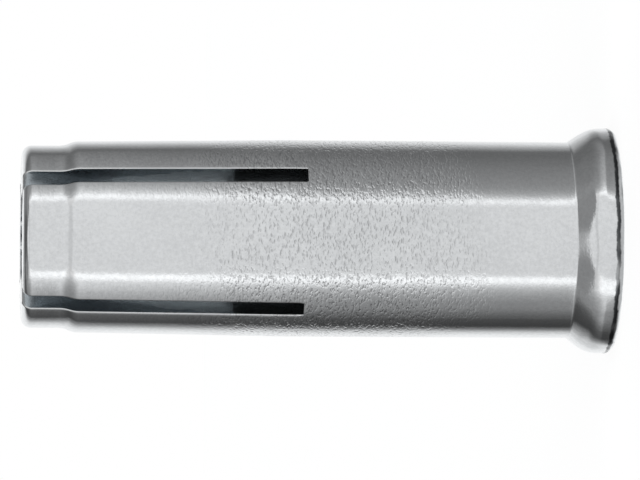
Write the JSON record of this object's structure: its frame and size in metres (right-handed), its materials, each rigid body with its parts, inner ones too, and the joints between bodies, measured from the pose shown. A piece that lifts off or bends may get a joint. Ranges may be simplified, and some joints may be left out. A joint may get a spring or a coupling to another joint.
{
  "type": "drop in anchor",
  "caption": "Slotted steel sleeve with a flared rim and an inside thread; a captive plug driven towards the tip spreads the sleeve in a drilled hole.",
  "frame": {"origin": "centre of the rim's end face, at the mouth of the thread", "axes": "+Z along the anchor's axis from the rim to the slotted tip; one finger faces -Y, with a slot 43 degrees to each side of it"},
  "size_m": [0.0114, 0.0114, 0.03],
  "materials": {
    "zinc_plated_steel": "satin zinc plating on cold-formed steel",
    "plug_steel": "plain turned steel"
  },
  "bodies": {
    "root": {"sleeve": "zinc_plated_steel", "expansion_plug": "plug_steel"}
  },
  "joints": []
}
